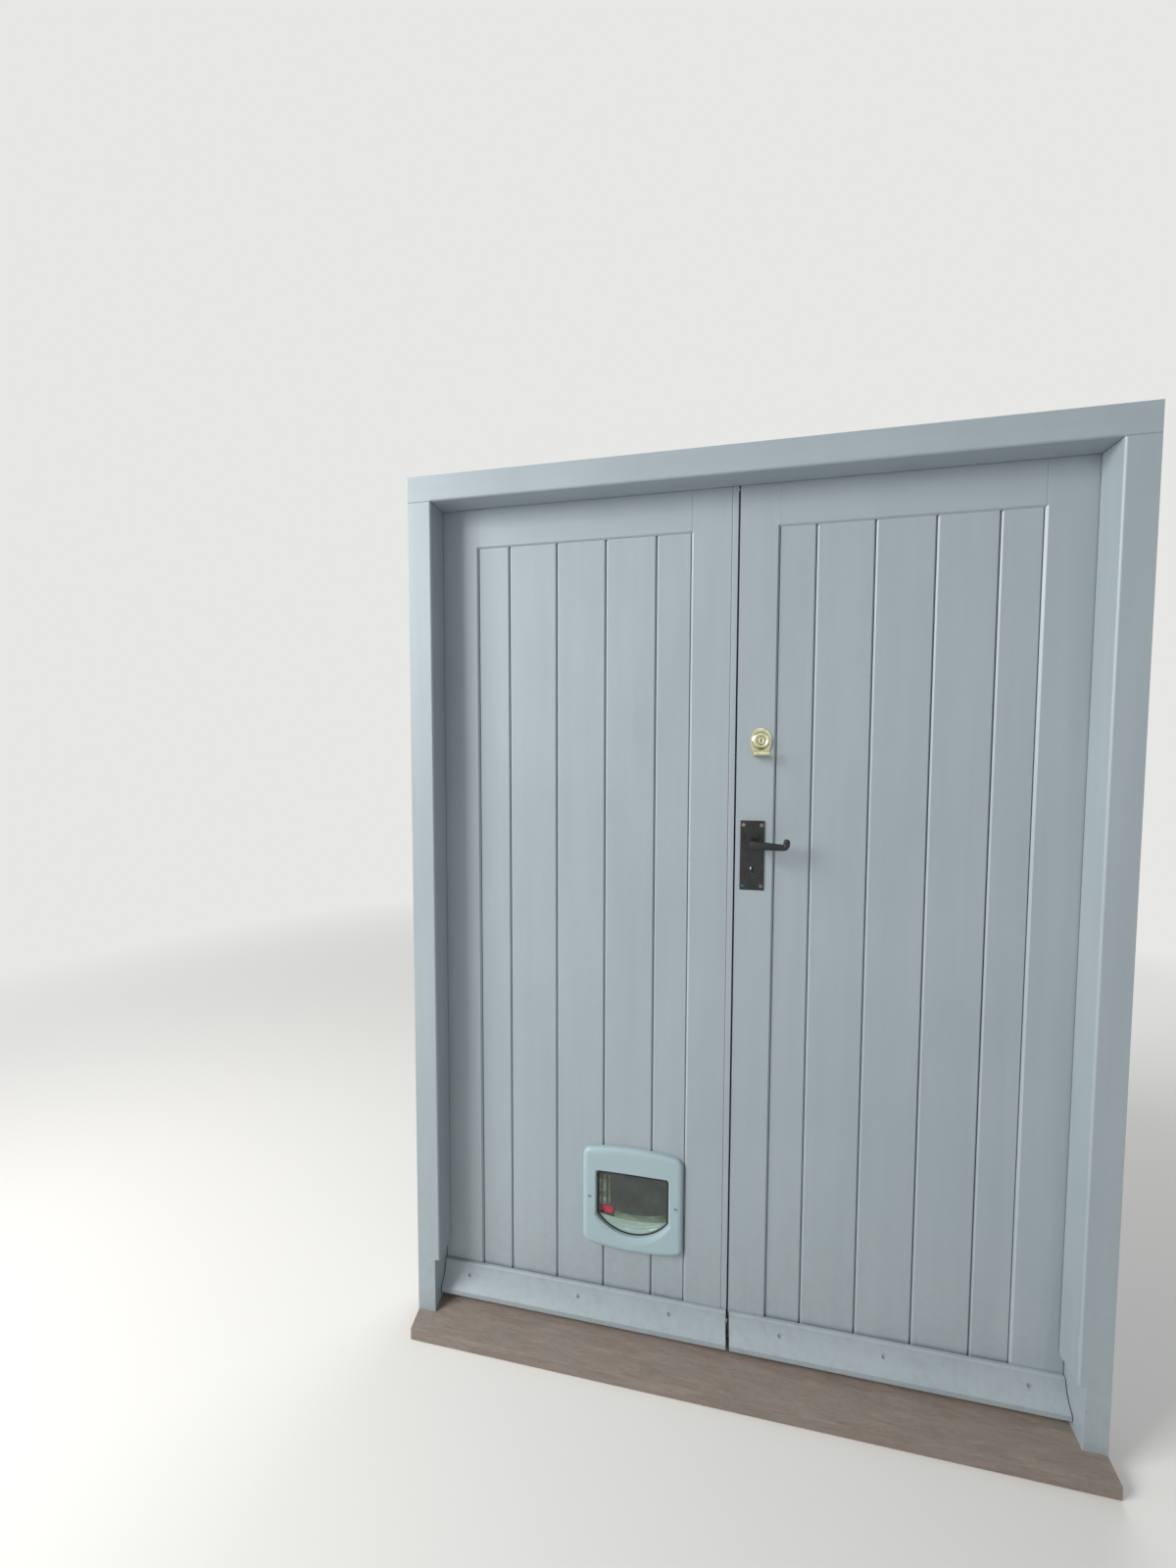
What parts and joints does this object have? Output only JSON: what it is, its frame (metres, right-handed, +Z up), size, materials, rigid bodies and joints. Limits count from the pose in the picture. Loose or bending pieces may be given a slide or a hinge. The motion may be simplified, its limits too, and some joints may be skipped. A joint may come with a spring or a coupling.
{
  "type": "boarded double door",
  "caption": "Pair of painted, vee-boarded entrance leaves in a rebated frame with hardwood sill, black lever lock, night latch, bolts and a cat flap.",
  "frame": {"origin": "underside of the sill, at the middle of the frame's width, in the plane of the leaves' outer face", "axes": "+X to the right as seen from outside, +Y into the building, +Z up"},
  "size_m": [1.462, 0.198, 2.032],
  "materials": {
    "grey_paint": "satin exterior paint on timber",
    "sill_hardwood": "weathered brown-grey hardwood",
    "zinc_steel": "zinc plated",
    "dark_screws": "dark zinc plated",
    "black_iron": "black powder coat",
    "bolt_brass": "plain brass",
    "pale_brass": "pale brushed brass",
    "latch_enamel": "stove enamel",
    "flap_plastic": "satin moulded plastic",
    "flap_clear": "clear tinted",
    "catch_red": "gloss"
  },
  "bodies": {
    "frame": {"frame_head": "grey_paint", "frame_jamb_left": "grey_paint", "frame_jamb_right": "grey_paint", "sill": "sill_hardwood", "water_bar": "zinc_steel", "frame_hinge_plates": "zinc_steel", "hinge_pins": "zinc_steel", "frame_screws": "zinc_steel", "bolt_staples": "zinc_steel"},
    "left_leaf": {"left_hinge_stile": "grey_paint", "left_meeting_stile": "grey_paint", "left_top_rail": "grey_paint", "left_middle_ledge": "grey_paint", "left_bottom_ledge": "grey_paint", "left_board_1": "grey_paint", "left_board_2": "grey_paint", "left_board_3": "grey_paint", "left_board_4": "grey_paint", "left_board_5": "grey_paint", "left_weather_bar": "grey_paint", "left_hinge_plates": "zinc_steel", "left_leaf_screws": "dark_screws", "lock_keep": "zinc_steel", "night_latch_keep": "latch_enamel", "tower_bolt_plates": "zinc_steel", "flap_outer_frame": "flap_plastic", "flap_inner_frame": "flap_plastic"},
    "right_leaf": {"right_hinge_stile": "grey_paint", "right_meeting_stile": "grey_paint", "right_top_rail": "grey_paint", "right_middle_ledge": "grey_paint", "right_bottom_ledge": "grey_paint", "right_board_1": "grey_paint", "right_board_2": "grey_paint", "right_board_3": "grey_paint", "right_board_4": "grey_paint", "right_board_5": "grey_paint", "right_weather_bar": "grey_paint", "right_hinge_plates": "zinc_steel", "right_leaf_screws": "dark_screws", "lock_case": "zinc_steel", "outside_plate": "black_iron", "inside_plate": "black_iron", "plate_screws": "black_iron", "rim_cylinder": "pale_brass", "cylinder_pull": "pale_brass", "night_latch_case": "latch_enamel"},
    "lever_handles": {"lock_follower": "zinc_steel", "spindle": "zinc_steel", "outside_lever": "black_iron", "inside_lever": "black_iron"},
    "latch": {"latch_bolt": "bolt_brass"},
    "key_bolt": {"dead_bolt": "bolt_brass"},
    "plug": {"cylinder_plug": "pale_brass"},
    "night_bolt": {"night_latch_bolt": "bolt_brass"},
    "night_knob": {"night_latch_knob": "latch_enamel"},
    "top_tower_bolt": {"top_bolt": "zinc_steel"},
    "bottom_tower_bolt": {"bottom_bolt": "zinc_steel"},
    "flap": {"cat_flap": "flap_clear"},
    "catch": {"flap_catch": "catch_red"}
  },
  "joints": [
    {"name": "left_leaf_swing", "type": "hinge", "parent": "frame", "child": "left_leaf", "pos_m": [-0.685, 0.05, 1], "axis": [0, 0, 1], "range_deg": [0, 100]},
    {"name": "right_leaf_swing", "type": "hinge", "parent": "frame", "child": "right_leaf", "pos_m": [0.685, 0.05, 1], "axis": [0, 0, -1], "range_deg": [0, 100]},
    {"name": "lever_turn", "type": "hinge", "parent": "right_leaf", "child": "lever_handles", "pos_m": [0.0465, 0.022, 1.2105], "axis": [0, 1, 0], "range_deg": [0, 40], "stiffness_Nm_per_rad": 1.5, "springref_deg": -17.19},
    {"name": "latch_slide", "type": "slide", "parent": "right_leaf", "child": "latch", "axis": [1, 0, 0], "range_m": [0, 0.0105]},
    {"name": "dead_bolt_slide", "type": "slide", "parent": "right_leaf", "child": "key_bolt", "axis": [-1, 0, 0], "range_m": [0, 0.014]},
    {"name": "night_knob_turn", "type": "hinge", "parent": "right_leaf", "child": "night_knob", "pos_m": [0.061, 0.0713, 1.433], "axis": [0, 1, 0], "range_deg": [0, 70]},
    {"name": "cylinder_plug_turn", "type": "hinge", "parent": "right_leaf", "child": "plug", "pos_m": [0.061, 0, 1.433], "axis": [0, 1, 0], "range_deg": [0, 70]},
    {"name": "night_bolt_slide", "type": "slide", "parent": "right_leaf", "child": "night_bolt", "axis": [-1, 0, 0], "range_m": [0, 0.014]},
    {"name": "top_bolt_slide", "type": "slide", "parent": "left_leaf", "child": "top_tower_bolt", "axis": [0, 0, 1], "range_m": [0, 0.022]},
    {"name": "bottom_bolt_slide", "type": "slide", "parent": "left_leaf", "child": "bottom_tower_bolt", "axis": [0, 0, -1], "range_m": [0, 0.022]},
    {"name": "flap_swing", "type": "hinge", "parent": "left_leaf", "child": "flap", "pos_m": [-0.212, 0.0045, 0.409], "axis": [1, 0, 0], "range_deg": [-80, 80]},
    {"name": "catch_slide", "type": "slide", "parent": "flap", "child": "catch", "axis": [-1, 0, 0], "range_m": [0, 0.008]}
  ],
  "couplings": [
    {"joint": "latch_slide", "follows": "lever_turn", "m_per_rad": 0.01504},
    {"joint": "cylinder_plug_turn", "follows": "night_knob_turn", "ratio": 1},
    {"joint": "night_bolt_slide", "follows": "night_knob_turn", "m_per_rad": 0.011459}
  ]
}
